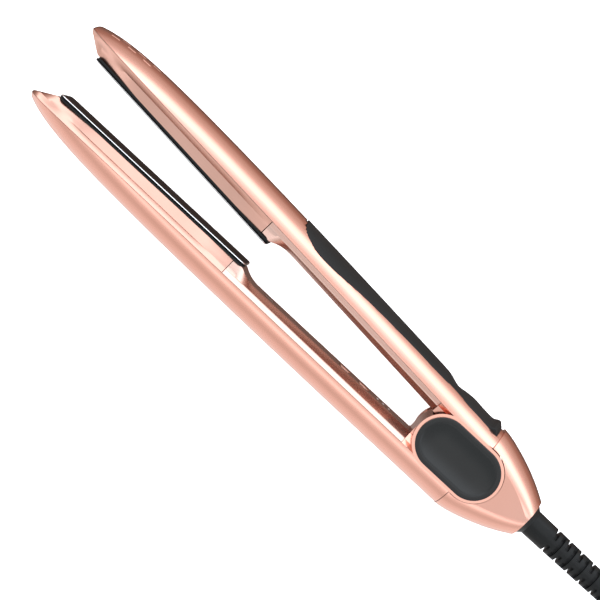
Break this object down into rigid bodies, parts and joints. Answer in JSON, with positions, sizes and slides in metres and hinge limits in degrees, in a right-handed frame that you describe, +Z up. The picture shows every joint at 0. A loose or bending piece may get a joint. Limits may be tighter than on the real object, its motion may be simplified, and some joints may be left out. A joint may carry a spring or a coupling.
{
  "type": "flat iron",
  "caption": "Hair straightener with two hinged arms, sprung heated plates, soft grip pad, oval hinge covers and a swivelling mains cord, lying on its side.",
  "frame": {"origin": "under the middle of the iron without its cord, on the surface that it lies on", "axes": "+X from the tips to the cord end, +Y from the fixed arm to the moving arm, +Z up along the hinge pin"},
  "size_m": [0.6657, 0.0573, 0.034],
  "materials": {
    "rose_gold": "satin metallic rose-gold lacquer",
    "soft_grip": "matte soft-touch",
    "hinge_cover_plastic": "satin black",
    "plate_coating": "glossy black ceramic coating",
    "grey_silicone": "matte grey silicone",
    "heater_ceramic": "ceramic",
    "insulator_sheet": "mica sheet",
    "spring_steel": "bright steel",
    "washer_brass": "machined",
    "control_plastic": "satin black",
    "status_lens": "frosted light pipe",
    "board_laminate": "green solder mask",
    "fuse_body": "white ceramic",
    "swivel_plastic": "matte black",
    "boot_rubber": "matte black",
    "cord_jacket": "matte black",
    "tie_strap": "woven strap",
    "plug_plastic": "satin black",
    "nickel": "nickel plate"
  },
  "bodies": {
    "lower_arm": {"board_switches": "control_plastic", "circuit_board": "board_laminate", "cord_hank": "cord_jacket", "cord_tail": "cord_jacket", "cord_tube": "cord_jacket", "hank_tie": "tie_strap", "hinge_block": "rose_gold", "hinge_cover_lower_side": "hinge_cover_plastic", "hinge_cover_upper_side": "hinge_cover_plastic", "lower_cushions": "grey_silicone", "lower_gasket": "grey_silicone", "lower_handle_liner": "rose_gold", "lower_plate_carrier": "rose_gold", "lower_screws": "spring_steel", "lower_shell": "rose_gold", "opening_spring": "spring_steel", "pivot_pin": "spring_steel", "pivot_washers": "washer_brass", "plug_body": "plug_plastic", "plug_pins": "nickel", "status_lights": "status_lens", "swivel_retainer": "swivel_plastic", "tail_cap": "rose_gold", "thermal_fuse": "fuse_body"},
    "upper_arm": {"upper_shell": "rose_gold", "upper_plate_carrier": "rose_gold", "upper_handle_liner": "rose_gold", "upper_knuckle": "rose_gold", "grip_pad": "soft_grip", "upper_screws": "spring_steel", "upper_gasket": "grey_silicone", "upper_cushions": "grey_silicone"},
    "lower_plate_group": {"lower_plate": "plate_coating", "lower_heater": "heater_ceramic", "lower_insulator": "insulator_sheet"},
    "upper_plate_group": {"upper_plate": "plate_coating", "upper_heater": "heater_ceramic", "upper_insulator": "insulator_sheet"},
    "cord_swivel": {"swivel_collar": "swivel_plastic", "strain_relief": "boot_rubber"},
    "power_button": {"power_button": "control_plastic"},
    "heat_button": {"heat_button": "control_plastic"}
  },
  "joints": [
    {"name": "arm_hinge", "type": "hinge", "parent": "lower_arm", "child": "upper_arm", "pos_m": [0.0785, -0.00613, 0.017], "axis": [0, 0, 1], "range_deg": [0, 4.85], "stiffness_Nm_per_rad": 0.6, "springref_deg": -20.05, "deforming": ["opening_spring"]},
    {"name": "lower_plate_float", "type": "slide", "parent": "lower_arm", "child": "lower_plate_group", "axis": [0, -1, 0], "range_m": [0, 0.0005], "stiffness_N_per_m": 4000, "springref_m": -0.0005, "deforming": ["lower_cushions", "lower_gasket"]},
    {"name": "upper_plate_float", "type": "slide", "parent": "upper_arm", "child": "upper_plate_group", "axis": [0.0793, 0.9968, 0], "range_m": [0, 0.0005], "stiffness_N_per_m": 4000, "springref_m": -0.0005, "deforming": ["upper_cushions", "upper_gasket"]},
    {"name": "swivel_turn", "type": "hinge", "parent": "lower_arm", "child": "cord_swivel", "pos_m": [0.1085, -0.00613, 0.017], "axis": [1, 0, 0], "continuous": true},
    {"name": "power_press", "type": "slide", "parent": "lower_arm", "child": "power_button", "axis": [0, -1, 0], "range_m": [0, 0.0004], "stiffness_N_per_m": 900, "springref_m": -0.0003},
    {"name": "heat_press", "type": "slide", "parent": "lower_arm", "child": "heat_button", "axis": [0, -1, 0], "range_m": [0, 0.0004], "stiffness_N_per_m": 900, "springref_m": -0.0003}
  ]
}
